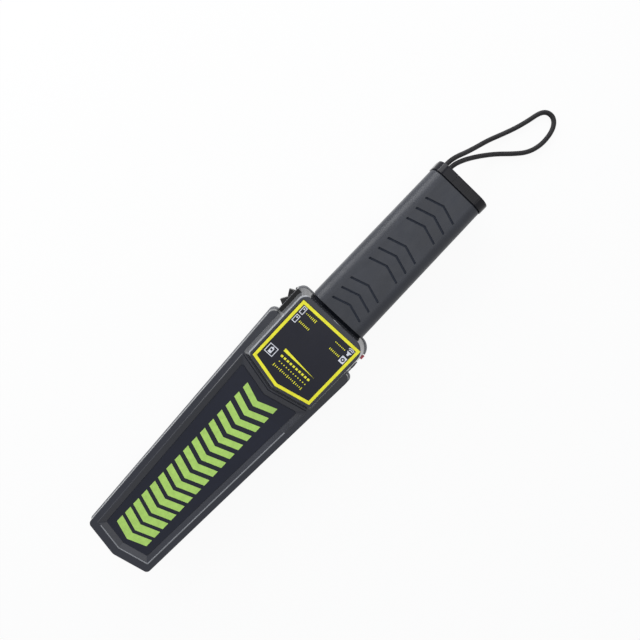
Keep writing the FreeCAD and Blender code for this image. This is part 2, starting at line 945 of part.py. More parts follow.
def make_trimmers():
    trimmers = []
    for x, y in map(on_board, trimmer_place_shares):
        half = trimmer_size / 2
        top_z = board_top_z + trimmer_height
        base = box_between((x - half, y - half, board_top_z), (x + half, y + half, top_z - trimmer_slot))
        dial = upright(x, y, board_top_z, top_z, trimmer_dial_radius)
        slot_low = (x - trimmer_dial_radius, y - trimmer_slot / 2, top_z - trimmer_slot)
        slot = box_between(slot_low, (x + trimmer_dial_radius, y + trimmer_slot / 2, top_z))
        trimmers.append(base.fuse(dial).cut(slot).removeSplitter())
    return trimmers


def header_port(shares):
    """Where wires enter a connector."""
    x, y = on_board(shares)
    return Vector(x, y, board_low_z - header_size[2] + header_floor)


def make_headers():
    headers = []
    long, wide, high = header_size
    for shares in (coil_header_shares, motor_header_shares, power_header_shares, speaker_header_shares):
        x, y = on_board(shares)
        low_z = board_low_z - high
        shell = box_between((x - long / 2, y - wide / 2, low_z), (x + long / 2, y + wide / 2, board_low_z))
        inner_x, inner_y = long / 2 - header_wall, wide / 2 - header_wall
        port = box_between(
            (x - inner_x, y - inner_y, low_z), (x + inner_x, y + inner_y, low_z + header_floor)
        )
        headers.append(shell.cut(port))
    return headers


def make_leads(start, leave, shares):
    """A pair of wires from a fitting to a connector on the board."""
    leads = []
    for side in (1, -1):
        apart = ACROSS * side * wire_half_pitch
        end = header_port(shares) + apart
        points = [start + apart, start + apart + leave, end - UP * wire_rise, end]
        leads.append(tube(points, wire_radius)[0])
    return leads


def make_board_screws():
    length = board_thickness + board_screw_bite
    head = board_screw_head_radius, board_screw_head_height
    return [
        make_screw(x, y, board_low_z, length, board_screw_radius, *head)
        for x, y in on_both_sides(board_posts)
    ]


# Switches
def make_switch_bezel():
    """The surround of both rockers, which follows the block's sloping side behind its flat face."""
    half_length, half_height = bezel_length / 2, bezel_height / 2
    low_y = bezel_face_y - bezel_plate - sleeve_depth
    frame = side_block(switch_x, half_length, low_y, bezel_face_y, parting_z, half_height)
    frame = frame.makeFillet(bezel_edge_radius, edges_at(frame, bezel_face_y, "Y"))
    lug_end_x = switch_x + half_length - lug_setback
    lug = box_between(
        (lug_end_x - lug_length, low_y, parting_z - lug_height / 2),
        (lug_end_x, bezel_face_y + lug_proud, parting_z + lug_height / 2),
    )
    frame = frame.fuse(lug).cut([front_shell_outside, back_shell_outside])
    sleeve_half = body_length / 2 + sleeve_wall + seat_gap
    sleeve_height = (switch_pitch + body_height) / 2 + sleeve_wall + seat_gap
    sleeve = side_block(
        switch_x, sleeve_half, low_y, bezel_face_y - bezel_plate / 2, parting_z, sleeve_height
    )
    pocket_half = body_length / 2 + seat_gap
    pocket_height = (switch_pitch + body_height) / 2 + seat_gap
    pocket = side_block(switch_x, pocket_half, 0, bezel_face_y - bezel_plate, parting_z, pocket_height)
    windows = []
    for z in (power_z, sensitivity_z):
        window_half = body_length / 2 - body_end_wall
        window_height = body_height / 2 - body_cheek
        windows.append(side_block(switch_x, window_half, 0, bezel_face_y + overrun, z, window_height))
    return joined([frame, sleeve]).cut([pocket] + windows)


def make_switch_body(z):
    """One switch's case, open at the front, with bearing holes for the rocker."""
    case = side_block(switch_x, body_length / 2, body_top_y - body_depth, body_top_y, z, body_height / 2)
    half_length = body_length / 2 - body_end_wall
    half_height = body_height / 2 - body_cheek
    pocket = side_block(
        switch_x, half_length, body_top_y - rocker_pocket_depth, body_top_y + overrun, z, half_height
    )
    low, high = (switch_x, pivot_y, z - body_height), (switch_x, pivot_y, z + body_height)
    return case.cut([pocket, rod_between(low, high, pivot_radius + pivot_clearance)])


def make_rocker(z, tilt):
    """A rocker with a vee face and its two trunnions, tilted about its pivot."""
    half_height = body_height / 2 - body_cheek - running_gap
    outline = [
        (-rocker_crown_half, rocker_crown_rise),
        (-rocker_skirt_half, rocker_skirt_rise),
        (-rocker_waist, 0),
        (-rocker_stem, -rocker_stem_depth),
        (rocker_stem, -rocker_stem_depth),
        (rocker_waist, 0),
        (rocker_skirt_half, rocker_skirt_rise),
        (rocker_crown_half, rocker_crown_rise),
        (0, rocker_crown_rise - rocker_crown_half * rocker_face_share),
    ]
    points = [Vector(switch_x + x, pivot_y + y, z - half_height) for x, y in outline]
    profile = Part.Face(Part.makePolygon(points + points[:1]))
    body = profile.extrude(UP * 2 * half_height)
    pin_half = body_height / 2 - seat_gap
    pins = rod_between((switch_x, pivot_y, z - pin_half), (switch_x, pivot_y, z + pin_half), pivot_radius)
    rocker = body.fuse(pins).removeSplitter()
    rocker.rotate(Vector(switch_x, pivot_y, z), UP, tilt)
    return rocker


def make_switch_terminals():
    blades = []
    back_y = body_top_y - body_depth
    for z in (power_z, sensitivity_z):
        for step in (-1, 0, 1):
            x = switch_x + step * terminal_spacing
            half_thick = terminal_thickness / 2
            blades.append(
                side_block(x, half_thick, back_y - terminal_length, back_y, z, terminal_width / 2)
            )
    return blades


def make_selector_body():
    far_y = selector_face_y + selector_depth
    case = side_block(
        selector_x, selector_length / 2, selector_face_y, far_y, parting_z, selector_height / 2
    )
    channel_half = (selector_travel + selector_stem) / 2 + running_gap
    channel_depth = selector_face_y + selector_stem_depth + running_gap
    channel = side_block(
        selector_x,
        channel_half,
        selector_face_y - overrun,
        channel_depth,
        parting_z,
        selector_stem / 2 + running_gap,
    )
    return case.cut(channel)


def make_selector_knob():
    outer_y = -(block_width / 2 + knob_proud)
    foot_y = selector_face_y - seat_gap
    cap = side_block(knob_x, knob_width / 2, outer_y, foot_y, parting_z, knob_height / 2)
    cap = cap.makeFillet(knob_edge_radius, edges_at(cap, outer_y, "Y"))
    stem_y = selector_face_y + selector_stem_depth
    stem = side_block(knob_x, selector_stem / 2, foot_y, stem_y, parting_z, selector_stem / 2)
    return cap.fuse(stem).removeSplitter()


def make_charge_jack():
    face_y = selector_face_y
    case = side_block(jack_x, jack_width / 2, face_y, face_y + jack_depth, parting_z, jack_height / 2)
    nose_y = face_y - jack_nose_length
    nose = rod_between((jack_x, face_y, parting_z), (jack_x, nose_y, parting_z), jack_nose_radius)
    bore = rod_between(
        (jack_x, nose_y, parting_z), (jack_x, nose_y + jack_bore_depth, parting_z), jack_bore_radius
    )
    return case.fuse(nose).cut(bore)


def make_speaker():
    low_z = wall + seat_gap
    basket = upright(speaker_x, speaker_y, low_z, low_z + speaker_thickness, speaker_radius)
    top_z = low_z + speaker_thickness
    magnet = upright(speaker_x, speaker_y, top_z, top_z + magnet_thickness, magnet_radius)
    return basket.fuse(magnet).removeSplitter()


def make_motor_case():
    case = rod_between((motor_x, motor_y, motor_z), (motor_end_x, motor_y, motor_z), motor_radius)
    socket_x = motor_end_x - shaft_socket
    socket = rod_between(
        (socket_x, motor_y, motor_z), (motor_end_x, motor_y, motor_z), shaft_radius + pivot_clearance
    )
    return case.cut(socket)


def make_motor_weight():
    """The motor's shaft with its off-centre weight."""
    start_x = motor_end_x - shaft_socket + seat_gap
    shaft = rod_between(
        (start_x, motor_y, motor_z), (motor_end_x + shaft_length, motor_y, motor_z), shaft_radius
    )
    weight_x = motor_end_x + weight_gap
    disc = rod_between(
        (weight_x, motor_y, motor_z), (weight_x + weight_length, motor_y, motor_z), weight_radius
    )
    spare = box_between(
        (weight_x - overrun, motor_y - motor_radius, motor_z + shaft_radius),
        (weight_x + weight_length + overrun, motor_y + motor_radius, motor_z + motor_radius),
    )
    return disc.cut(spare).fuse(shaft).removeSplitter()


# End cap: a fixed collar with a rail, and the battery door that slides on it
cap_x = handle_end_x + cap_gap
head_x = cap_x + rail_neck
head_end_x = head_x + rail_head
cap_skin_inset = cap_end_wall - cap_overhang
neck_half_height = rail_half_height - rail_undercut
battery_end_x = head_end_x
battery_start_x = battery_end_x - battery_length
window_half_width = battery_width / 2 + bay_clearance
window_half_height = battery_height / 2 + bay_clearance
plug_x = handle_end_x - plug_depth
plug_inset = handle_wall + seat_gap
snap_thickness = 4
snap_stud_depth = 2.6
snap_width = 25
snap_height = 12
pad_thickness = 0.8
bay_end_gap = 1.2
snap_x = battery_start_x - terminal_height - (snap_thickness - snap_stud_depth) - seat_gap
bay_x = snap_x - bay_end_gap
bay_notch = 3
shelf_setback = 2.7
pad_width = 13
door_rib_count = 13
door_rib_pitch = 1.5
door_rib_width = 0.6
door_rib_depth = 0.3
door_rib_start = 16
collar_screw_y = 11
collar_screw_head_radius = 2.2
collar_screw_head_height = 1.3
collar_screw_length = 8.5
collar_screw_x = handle_end_x - plug_depth / 2
handle_back_z = parting_z - handle_rise
collar_screw_seat_z = handle_back_z + collar_screw_head_height + seat_gap
strand_way_radius = lanyard_radius + seat_gap
strand_ys = (lanyard_y + lanyard_pitch / 2, lanyard_y - lanyard_pitch / 2)


def all_across(start_x, end_x, low_y, high_y, half_height):
    """A box about the parting plane, given by its ends along and across the wand."""
    return box_between((start_x, low_y, parting_z - half_height), (end_x, high_y, parting_z + half_height))


def cap_body():
    body = straight_bar(cap_x, cap_end_x, handle_end_x, -cap_overhang)
    return body.makeFillet(cap_edge_radius, edges_at(body, cap_end_x, "X"))


def cap_section(start_x, end_x, inset):
    return straight_bar(start_x, end_x, handle_end_x, inset)


def make_end_collar():
    half = handle_root_width / 2
    beyond = all_across(
        cap_x - overrun, cap_end_x + overrun, door_seam_y + seat_gap, half + overrun, block_thickness
    )
    block = cap_body().common(beyond)
    neck = all_across(handle_end_x, head_x, -half, door_seam_y + wall, neck_half_height)
    head = all_across(head_x, head_end_x, -half, door_seam_y + wall, rail_half_height)
    rail = neck.fuse(head).common(cap_section(handle_end_x, cap_end_x, cap_skin_inset + running_gap))
    tie = all_across(handle_end_x, cap_x, door_seam_y, half, rail_half_height)
    tie = tie.common(cap_section(handle_end_x, cap_x, cap_skin_inset + running_gap))
    plug = handle_bar(plug_x, handle_end_x, plug_inset)
    hollow = handle_bar(plug_x - overrun, handle_end_x - plug_plate, plug_inset + plug_wall)
    web = all_across(plug_x - overrun, cap_end_x, door_seam_y, half, block_thickness)
    plug = plug.cut(hollow.cut(web))
    low_y, high_y = battery_y - window_half_width, battery_y + window_half_width
    floor_z = parting_z - window_half_height - pad_thickness
    roof_z = parting_z + window_half_height
    shelf_y = low_y + shelf_setback
    join_x = handle_end_x - plug_plate / 2
    floor = box_between((bay_x, shelf_y, floor_z - bay_wall), (join_x, high_y + bay_wall, floor_z))
    roof = box_between((bay_x, shelf_y, roof_z), (join_x, high_y + bay_wall, roof_z + bay_wall))
    side = box_between((bay_x, high_y, floor_z - bay_wall), (join_x, high_y + bay_wall, roof_z + bay_wall))
    end = box_between(
        (bay_x - bay_wall, shelf_y, floor_z - bay_wall), (bay_x, high_y + bay_wall, roof_z + bay_wall)
    )
    collar = joined([block, rail, tie, plug, floor, roof, side, end])
    window = all_across(bay_x, head_end_x + overrun, low_y, high_y, window_half_height)
    notch = all_across(
        bay_x - overrun, bay_x + bay_wall, battery_y - bay_notch, battery_y + bay_notch, bay_notch
    )
    way_half = lanyard_pitch / 2
    way = all_across(
        plug_x - overrun, cap_end_x + overrun, lanyard_y - way_half, lanyard_y + way_half, strand_way_radius
    )
    ways = [way] + [
        rod_between(
            (plug_x - overrun, y, parting_z), (cap_end_x + overrun, y, parting_z), strand_way_radius
        )
        for y in strand_ys
    ]
    top_z = collar_screw_seat_z + collar_screw_length + seat_gap
    pilot = upright(collar_screw_x, collar_screw_y, 0, top_z, screw_radius + pivot_clearance)
    return collar.cut([window, notch, pilot] + ways)


def make_battery_door():
    half = handle_root_width / 2
    body = cap_body().common(
        all_across(
            cap_x - overrun, cap_end_x + overrun, -half - overrun, door_seam_y - seat_gap, block_thickness
        )
    )
    far_y = door_seam_y + overrun
    neck = all_across(cap_x - overrun, head_x - running_gap, -half, far_y, neck_half_height + running_gap)
    head = all_across(
        head_x - running_gap, head_end_x + running_gap, -half, far_y, rail_half_height + running_gap
    )
    channel = neck.fuse(head).common(cap_section(cap_x - overrun, cap_end_x, cap_skin_inset))
    ribs = []
    top = parting_z + handle_rise + cap_overhang
    for index in range(door_rib_count):
        y = index * door_rib_pitch - door_rib_start
        low = (cap_x + cap_edge_radius, y, top - door_rib_depth)
        rib = box_between(low, (cap_end_x - cap_edge_radius, y + door_rib_width, top + overrun))
        ribs += [rib, mirrored(rib)]
    return body.cut([channel] + ribs)


def make_battery():
    half_width, half_height = battery_width / 2, battery_height / 2
    low = (battery_start_x, battery_y - half_width, parting_z - half_height)
    case = box_between(low, (battery_end_x, battery_y + half_width, parting_z + half_height))
    long_edges = [e for e in case.Edges if abs(e.Length - battery_length) < match]
    case = case.makeFillet(battery_edge_radius, long_edges)
    studs = []
    for side, radius in zip((1, -1), terminal_radii):
        y = battery_y + side * terminal_pitch / 2
        start = (battery_start_x - terminal_height, y, parting_z)
        studs.append(rod_between(start, (battery_start_x, y, parting_z), radius))
    return joined([case] + studs)


def make_battery_snap():
    low = battery_y - snap_width / 2
    plate = all_across(snap_x, snap_x + snap_thickness, low, low + snap_width, snap_height / 2)
    sockets = []
    for side, radius in zip((1, -1), terminal_radii):
        y = battery_y + side * terminal_pitch / 2
        start_x = battery_start_x - terminal_height - seat_gap
        sockets.append(
            rod_between((start_x, y, parting_z), (battery_start_x, y, parting_z), radius + seat_gap)
        )
    return plate.cut(sockets)


def make_battery_pad():
    """The foam strip between the battery and the floor of its bay."""
    top_z = parting_z - battery_height / 2
    low_z = parting_z - window_half_height - pad_thickness
    low_y = battery_y - pad_width / 2
    end_x = handle_end_x - plug_plate - seat_gap
    return box_between((battery_start_x, low_y, low_z), (end_x, low_y + pad_width, top_z))


def make_collar_screw():
    head = collar_screw_head_radius, collar_screw_head_height
    place = collar_screw_x, collar_screw_y, collar_screw_seat_z
    return make_screw(*place, collar_screw_length, screw_radius, *head)


def cut_collar_screw(grip):
    """The handle's countersink and hole for the screw that holds the collar."""
    pocket = upright(
        collar_screw_x, collar_screw_y, 0, collar_screw_seat_z, collar_screw_head_radius + seat_gap
    )
    hole = upright(collar_screw_x, collar_screw_y, 0, parting_z, screw_radius + screw_pocket_gap)
    return grip.cut([pocket, hole])


# Lanyard: a knot behind the collar and a loop that falls to the surface and lies on it.
# Its middle points are given from the eye, along and across the wand, with their heights.
lanyard_middle = (
    (12.5, 0.3, 20.6),
    (21.5, -3.5, 15),
    (31.5, -6.9, 9),
    (42, -10.2, 4),
    (52.5, -14.8, 2),
    (63.5, -19.4, 2),
    (74.5, -22.8, 2),
    (84.5, -25, 2),
    (89.2, -28.8, 2),
    (90, -34.8, 2),
    (86.4, -39.9, 2),
    (79, -42.9, 2),
    (68, -43.4, 2),
    (57.5, -39.9, 2),
    (48.8, -32.2, 2),
    (40.2, -23, 2),
    (31, -15.6, 5.9),
    (22, -9.6, 12.2),
    (13.5, -5, 18.4),
)
lanyard_straight = 5.5
lanyard_route = (
    (cap_end_x, strand_ys[0], parting_z),
    (cap_end_x + lanyard_straight, strand_ys[0], parting_z),
    *((cap_end_x + x, lanyard_y + y, z) for x, y, z in lanyard_middle),
    (cap_end_x + lanyard_straight, strand_ys[1], parting_z),
    (cap_end_x, strand_ys[1], parting_z),
)


def make_lanyard_knot():
    end_x = plug_x - seat_gap
    centre = Vector(end_x - knot_radius, lanyard_y, parting_z)
    knot = Part.makeSphere(knot_radius, centre)
    strands = [
        rod_between((centre.x, y, parting_z), (cap_end_x, y, parting_z), lanyard_radius)
        for y in strand_ys
    ]
    return joined([knot] + strands)


# Every sub-part
front_shell_outside = outer_half(reveal).cut(make_side_cuts())
back_shell_outside = mirrored(outer_half(0)).cut(make_side_cuts())
blade_decal, panel_label = make_labels()
lanyard_cord, lanyard_length, lanyard_bends = tube(lanyard_route, lanyard_radius)
winding_end = Vector(
    former_end_x - flange_depth + seat_gap + winding_depth, on_board(coil_header_shares)[1], parting_z
)
motor_wire_start = Vector(motor_x, motor_y, motor_z + motor_wire_rise)
speaker_edge_x = speaker_x + (speaker_radius + magnet_radius) / 2
speaker_wire_start = Vector(speaker_edge_x, speaker_y, wall + seat_gap + speaker_thickness)
snap_wire_start = Vector(snap_x, battery_y, parting_z)

sub_parts = {
    "front_shell": make_front_shell(),
    "back_shell": make_back_shell(),
    "handle_grip": cut_collar_screw(make_handle_grip()),
    "end_collar": make_end_collar(),
    "battery_door": make_battery_door(),
    "blade_decal": blade_decal,
    "panel_label": panel_label,
    "coil_former": make_coil_former(),
    "search_coil": make_search_coil(),
    "coil_leads": group(make_leads(winding_end, ALONG * wire_leave, coil_header_shares)),
    "circuit_board": make_circuit_board(),
    "board_chips": group(make_chips()),
    "board_capacitors": group(make_capacitors()),
    "board_trimmers": group(make_trimmers()),
    "board_headers": group(make_headers()),
    "board_screws": group(make_board_screws()),
    "speaker": make_speaker(),
    "speaker_leads": group(make_leads(speaker_wire_start, UP * wire_leave, speaker_header_shares)),
    "motor_case": make_motor_case(),
    "motor_weight": make_motor_weight(),
    "motor_leads": group(make_leads(motor_wire_start, -ALONG * motor_wire_leave, motor_header_shares)),
    "switch_bezel": make_switch_bezel(),
    "power_switch_body": make_switch_body(power_z),
    "sensitivity_switch_body": make_switch_body(sensitivity_z),
    "power_rocker": make_rocker(power_z, -rocker_tilt),
    "sensitivity_rocker": make_rocker(sensitivity_z, rocker_tilt),
    "switch_terminals": group(make_switch_terminals()),
    "selector_body": make_selector_body(),
    "selector_knob": make_selector_knob(),
    "charge_jack": make_charge_jack(),
    "battery": make_battery(),
    "battery_snap": make_battery_snap(),
    "battery_leads": group(make_leads(snap_wire_start, -ALONG * wire_leave, power_header_shares)),
    "battery_pad": make_battery_pad(),
    "lanyard_cord": lanyard_cord,
    "lanyard_knot": make_lanyard_knot(),
    "block_screws": group(make_block_screws()),
    "blade_screws": group(make_blade_screws()),
    "collar_screw": make_collar_screw(),
}
for node, shape in sub_parts.items():
    export(node, shape)
    print(node, "valid" if shape.isValid() else "NOT VALID", len(shape.Solids), round(shape.Volume, 1))

section = math.pi * lanyard_radius ** 2
print(
    "lanyard length",
    round(lanyard_length, 1),
    "volume over section",
    round(lanyard_cord.Volume / section, 1),
)
print("lanyard bend radii", [round(bend, 1) for bend in lanyard_bends])
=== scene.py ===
import math

import bmesh
import bpy
from mathutils import Matrix, Vector


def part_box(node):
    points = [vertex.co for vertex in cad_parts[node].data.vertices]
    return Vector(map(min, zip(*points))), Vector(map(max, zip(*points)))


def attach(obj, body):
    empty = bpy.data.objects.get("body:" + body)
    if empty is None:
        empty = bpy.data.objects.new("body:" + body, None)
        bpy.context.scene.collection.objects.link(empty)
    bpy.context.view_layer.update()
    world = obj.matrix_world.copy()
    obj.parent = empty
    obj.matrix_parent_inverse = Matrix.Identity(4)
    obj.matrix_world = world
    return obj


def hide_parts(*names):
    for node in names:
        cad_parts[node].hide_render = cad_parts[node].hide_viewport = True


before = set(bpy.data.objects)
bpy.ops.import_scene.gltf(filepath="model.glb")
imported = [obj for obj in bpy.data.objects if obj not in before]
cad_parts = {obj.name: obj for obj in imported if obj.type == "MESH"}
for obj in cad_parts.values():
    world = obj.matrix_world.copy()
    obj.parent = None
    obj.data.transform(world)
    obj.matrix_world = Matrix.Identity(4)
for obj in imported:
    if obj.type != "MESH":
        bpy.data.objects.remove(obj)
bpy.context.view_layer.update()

# Sizes and places are in millimetres, but the camera's and the lights' places, the lights' sizes and the
# floor's are in metres. X runs from the blade's tip to the end cap, Y to the side with the rockers, Z out of
# the front face.
MM = 0.001
PARTING_Z = 22.5


# Camera, at the photograph's viewing angle
CAMERA_PLACE = (0.10642, 0.04962, 0.49205)
CAMERA_TURNS = (("X", -5.131), ("Y", 6.273), ("Z", -46.636))
CAMERA_LENS = 33.75
CAMERA_SENSOR = 36
CAMERA_NEAREST = 0.01
camera_data = bpy.data.cameras.new("camera")
camera_data.lens = CAMERA_LENS
camera_data.sensor_width = CAMERA_SENSOR
camera_data.clip_start = CAMERA_NEAREST
camera = bpy.data.objects.new("camera", camera_data)
bpy.context.collection.objects.link(camera)
turn = Matrix.Identity(4)
for axis, degrees in CAMERA_TURNS:
    turn = turn @ Matrix.Rotation(math.radians(degrees), 4, axis)
camera.matrix_world = Matrix.Translation(CAMERA_PLACE) @ turn
bpy.context.scene.camera = camera
bpy.context.scene.view_settings.view_transform = "Standard"


# Lanyard: one cord through the eye in the end collar, down to the floor and back
EYE = (205, 16.95)
STRAND_PITCH = 3.95
LANYARD_RADIUS = 1.9
LANYARD_STRAIGHT = 5.5
LANYARD_MIDDLE = (
    (12.5, 0.3, 20.6),
    (21.5, -3.5, 15),
    (31.5, -6.9, 9),
    (42, -10.2, 4),
    (52.5, -14.8, 2),
    (63.5, -19.4, 2),
    (74.5, -22.8, 2),
    (84.5, -25, 2),
    (89.2, -28.8, 2),
    (90, -34.8, 2),
    (86.4, -39.9, 2),
    (79, -42.9, 2),
    (68, -43.4, 2),
    (57.5, -39.9, 2),
    (48.8, -32.2, 2),
    (40.2, -23, 2),
    (31, -15.6, 5.9),
    (22, -9.6, 12.2),
    (13.5, -5, 18.4),
)
near_y, far_y = EYE[1] + STRAND_PITCH / 2, EYE[1] - STRAND_PITCH / 2
LANYARD_ROUTE = (
    (EYE[0], near_y, PARTING_Z),
    (EYE[0] + LANYARD_STRAIGHT, near_y, PARTING_Z),
    *((EYE[0] + x, EYE[1] + y, z) for x, y, z in LANYARD_MIDDLE),
    (EYE[0] + LANYARD_STRAIGHT, far_y, PARTING_Z),
    (EYE[0], far_y, PARTING_Z),
)


def mesh_of_curve(curve):
    """The mesh that a curve makes; the curve itself is removed."""
    carrier = bpy.data.objects.new(curve.name, curve)
    mesh = bpy.data.meshes.new_from_object(carrier)
    bpy.data.objects.remove(carrier)
    bpy.data.curves.remove(curve)
    return mesh


def cord_line(route):
    """Points along the smooth curve that a route's points control."""
    curve = bpy.data.curves.new("line", "CURVE")
    curve.dimensions = "3D"
    spline = curve.splines.new("NURBS")
    spline.points.add(len(route) - 1)
    for point, place in zip(spline.points, route):
        point.co = (*(value * MM for value in place), 1)
    spline.order_u = 3
    spline.use_endpoint_u = True
    spline.resolution_u = 24
    mesh = mesh_of_curve(curve)
    line = [vertex.co.copy() for vertex in mesh.vertices]
    bpy.data.meshes.remove(mesh)
    return line


def evenly_spaced(line, step):
    """The same line with points at equal distances."""
    total = sum((b - a).length for a, b in zip(line, line[1:]))
    count = round(total / step)
    spacing = total / count
    places, gone, here = [line[0]], 0.0, 0
    for index in range(1, count):
        wanted = index * spacing
        while gone + (line[here + 1] - line[here]).length < wanted:
            gone += (line[here + 1] - line[here]).length
            here += 1
        part = (wanted - gone) / (line[here + 1] - line[here]).length
        places.append(line[here].lerp(line[here + 1], part))
    places.append(line[-1])
    return places, spacing


def new_piece(name, mesh, material, body):
    piece = bpy.data.objects.new(name, mesh)
    bpy.context.collection.objects.link(piece)
    mesh.materials.append(material)
    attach(piece, body)
    return piece


BRAID_STRANDS = 8
BRAID_LAY = 8.4
BRAID_RELIEF = 0.13
BRAID_SIDES = 48
BRAID_STEP = 0.28
UNDER_SHARE = 0.72


def braid_height(along, around):
    """How far the plaited strands stand out: two sets wind against each other, over and under."""
    twist = 2 * math.pi * along / BRAID_LAY
    half = BRAID_STRANDS / 2
    right = math.cos(half * (around - twist))
    left = math.cos(half * (around + twist))
    over = math.cos(half * 2 * twist) * math.cos(half * 2 * around) > 0
    first, second = (right, left) if over else (left, right)
    return max(abs(first), UNDER_SHARE * abs(second))


def braided_tube(line, spacing, radius):
    """A cord's surface with the relief of its plait, closed at both ends."""
    vertices, faces = [], []
    tangent = (line[1] - line[0]).normalized()
    side = tangent.cross(Vector((0, 0, 1))).normalized()
    for index, place in enumerate(line):
        ahead = line[min(index + 1, len(line) - 1)] - line[max(index - 1, 0)]
        tangent = ahead.normalized()
        side = (side - tangent * side.dot(tangent)).normalized()
        other = tangent.cross(side)
        along = index * spacing / MM
        for step in range(BRAID_SIDES):
            around = 2 * math.pi * step / BRAID_SIDES
            out = radius - BRAID_RELIEF * (1 - braid_height(along, around))
            vertices.append(place + (side * math.cos(around) + other * math.sin(around)) * out * MM)
    for index in range(len(line) - 1):
        low, high = index * BRAID_SIDES, (index + 1) * BRAID_SIDES
        for step in range(BRAID_SIDES):
            following = (step + 1) % BRAID_SIDES
            faces.append((low + step, low + following, high + following, high + step))
    faces.append(tuple(reversed(range(BRAID_SIDES))))
    faces.append(tuple(range((len(line) - 1) * BRAID_SIDES, len(line) * BRAID_SIDES)))
    mesh = bpy.data.meshes.new("lanyard_braid")
    mesh.from_pydata(vertices, [], faces)
    mesh.shade_smooth()
    mesh.update()
    return mesh


# Materials
def srgb(red, green, blue):
    """A colour given in display values from 0 to 255."""
    def linear(value):
        value /= 255
        return value / 12.92 if value <= 0.04045 else ((value + 0.055) / 1.055) ** 2.4
    return linear(red), linear(green), linear(blue), 1.0


def shade(colour, factor):
    return (*(min(value * factor, 1) for value in colour[:3]), 1.0)


def grey(value):
    return value, value, value, 1


def add_node(tree, kind, inputs=(), **settings):
    """A shader node, whose inputs are given as values or as the outputs of other nodes."""
    node = tree.nodes.new("ShaderNode" + kind)
    for key, value in settings.items():
        setattr(node, key, value)
    for key, value in dict(inputs).items():
        if isinstance(value, bpy.types.NodeSocket):
            tree.links.new(value, node.inputs[key])
        else:
            node.inputs[key].default_value = value
    return node


NOISE_RANGE = (0.3, 0.7)


class Surface:
    """One procedural material, laid out in the object's own space in metres."""

    def __init__(self, name):
        self.material = bpy.data.materials.new(name)
        self.material.use_nodes = True
        self.tree = self.material.node_tree
        self.tree.nodes.clear()
        self.shader = self.add("BsdfPrincipled")
        self.add("OutputMaterial", {"Surface": self.shader.outputs[0]})
        space = self.add("TexCoord").outputs
        self.place = space["Object"]
        self.facing = space["Normal"]

    def add(self, kind, inputs=(), **settings):
        return add_node(self.tree, kind, inputs, **settings)

    def link(self, source, target):
        self.tree.links.new(source, target)

    def noise(self, scale, detail=3.0, stretch=(1, 1, 1)):
        """Noise in features per metre."""
        place = self.place
        if stretch != (1, 1, 1):
            place = self.add("Mapping", {"Vector": place, "Scale": stretch}).outputs[0]
        inputs = {"Vector": place, "Scale": scale, "Detail": detail, "Roughness": 0.55}
        return self.add("TexNoise", inputs).outputs["Fac"]

    def ramp(self, factor, low, high, start=0.35, end=0.65):
        """A colour between two, by a factor."""
        node = self.add("ValToRGB", {"Fac": factor})
        first, second = node.color_ramp.elements
        first.position = start
        first.color = low
        second.position = end
        second.color = high
        return node.outputs["Color"]

    def mix(self, factor, first, second, blend="MIX"):
        inputs = {"Fac": factor, "Color1": first, "Color2": second}
        return self.add("MixRGB", inputs, blend_type=blend).outputs[0]

    def map_range(self, value, start, end, low, high):
        inputs = {"Value": value, "From Min": start, "From Max": end, "To Min": low, "To Max": high}
        return self.add("MapRange", inputs).outputs["Result"]

    def span(self, noise, low, high):
        """A number between two, spread over the usual range of a noise."""
        return self.map_range(noise, *NOISE_RANGE, low, high)

    def share_between(self, value, start, end):
        """0 at the start and 1 at the end of a range, which may run downwards."""
        return self.map_range(value, start, end, 0, 1)

    def maths(self, operation, first, second=0.0):
        return self.add("Math", {0: first, 1: second}, operation=operation).outputs[0]

    def split(self, vector):
        """The X, Y and Z of a vector."""
        return tuple(self.add("SeparateXYZ", {0: vector}).outputs)

    def off_parting(self, height):
        """How far a height is from the parting plane, on either side."""
        return self.maths("ABSOLUTE", self.maths("SUBTRACT", height, PARTING_Z * MM))

    def bump(self, height, depth_mm, strength=1.0, normal=None):
        """Relief from a height; its strength may be a number or a socket."""
        inputs = {"Height": height, "Distance": depth_mm * MM, "Strength": strength}
        if normal is not None:
            inputs["Normal"] = normal
        return self.add("Bump", inputs).outputs[0]

    def finish(self, colour, roughness, normal, metallic=0.0, specular=0.5):
        for key, value in (("Base Color", colour), ("Roughness", roughness), ("Normal", normal)):
            self.link(value, self.shader.inputs[key])
        self.shader.inputs["Metallic"].default_value = metallic
        self.shader.inputs["Specular IOR Level"].default_value = specular
        return self.material


# Limits of the places where the moulded plastic is painted pale as highlights: the bead of the blade's tray,
# the brow of the control block and the last millimetre of the back shell below the parting plane
BLADE_RISE = 9
BEAD_FOOT = 0.35
BEAD_HIGHLIGHT_Y = 23.5
VEE_X = -30
BROW_Z = 42.6
RIM_HEIGHT = 0.9


def painted_edge_highlights(surface):
    """1 where edge highlights are painted: the crest of the tray's bead and the control block's brow towards
    the rockers.
    """
    x, y, z = surface.split(surface.place)
    crest = surface.maths("GREATER_THAN", surface.off_parting(z), (BLADE_RISE + BEAD_FOOT) * MM)
    blade = surface.maths("LESS_THAN", x, VEE_X * MM)
    open_side = surface.maths("LESS_THAN", y, BEAD_HIGHLIGHT_Y * MM)
    crest_highlight = surface.maths("MULTIPLY", crest, surface.maths("MULTIPLY", blade, open_side))
    brow = surface.maths("GREATER_THAN", z, BROW_Z * MM)
    outward = surface.share_between(surface.split(surface.facing)[1], 0.15, 0.35)
    return surface.maths("MAXIMUM", crest_highlight, surface.maths("MULTIPLY", brow, outward))


